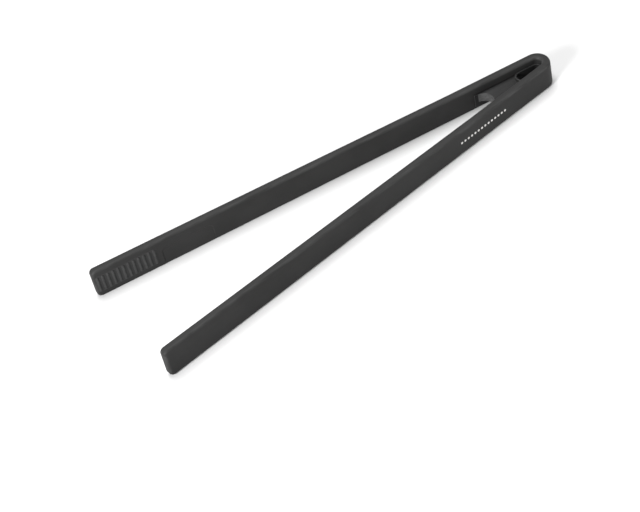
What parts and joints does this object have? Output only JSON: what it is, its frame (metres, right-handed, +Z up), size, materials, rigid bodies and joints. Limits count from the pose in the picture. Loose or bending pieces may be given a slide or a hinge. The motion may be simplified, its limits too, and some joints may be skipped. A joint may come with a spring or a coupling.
{
  "type": "kitchen tongs",
  "caption": "Long spring tongs with two flat, widening arms joined by a narrow bend, ribbed gripping faces at the tips and an arched spreader with a hanging hole at the head.",
  "frame": {"origin": "under the middle of the whole length, on the centre line between the arms, in the plane that the tongs lie on", "axes": "+X from the tips to the head, +Y to the right arm (held with the head toward the user and the tips away), +Z up, along the height of the arms"},
  "size_m": [0.298, 0.0848, 0.02],
  "materials": {
    "skin": "matte",
    "pad": "matte",
    "spreader": "matte",
    "steel": "satin"
  },
  "bodies": {
    "head": {"head_cover": "skin", "spring_bow": "steel", "spreader": "spreader"},
    "left_arm": {"left_arm_cover": "skin", "left_spring_blade": "steel", "left_grip_pad": "pad"},
    "right_arm": {"right_arm_cover": "skin", "right_spring_blade": "steel", "right_grip_pad": "pad"}
  },
  "joints": [
    {"name": "left_arm_flex", "type": "hinge", "parent": "head", "child": "left_arm", "pos_m": [0.08649, -0.01233, 0.0084], "axis": [0, 0, -1], "range_deg": [-4, 8.8], "stiffness_Nm_per_rad": 4.7},
    {"name": "right_arm_flex", "type": "hinge", "parent": "head", "child": "right_arm", "pos_m": [0.08649, 0.01233, 0.0084], "axis": [0, 0, 1], "range_deg": [-4, 8.8], "stiffness_Nm_per_rad": 4.7}
  ],
  "couplings": [
    {"joint": "right_arm_flex", "follows": "left_arm_flex", "ratio": 1}
  ]
}
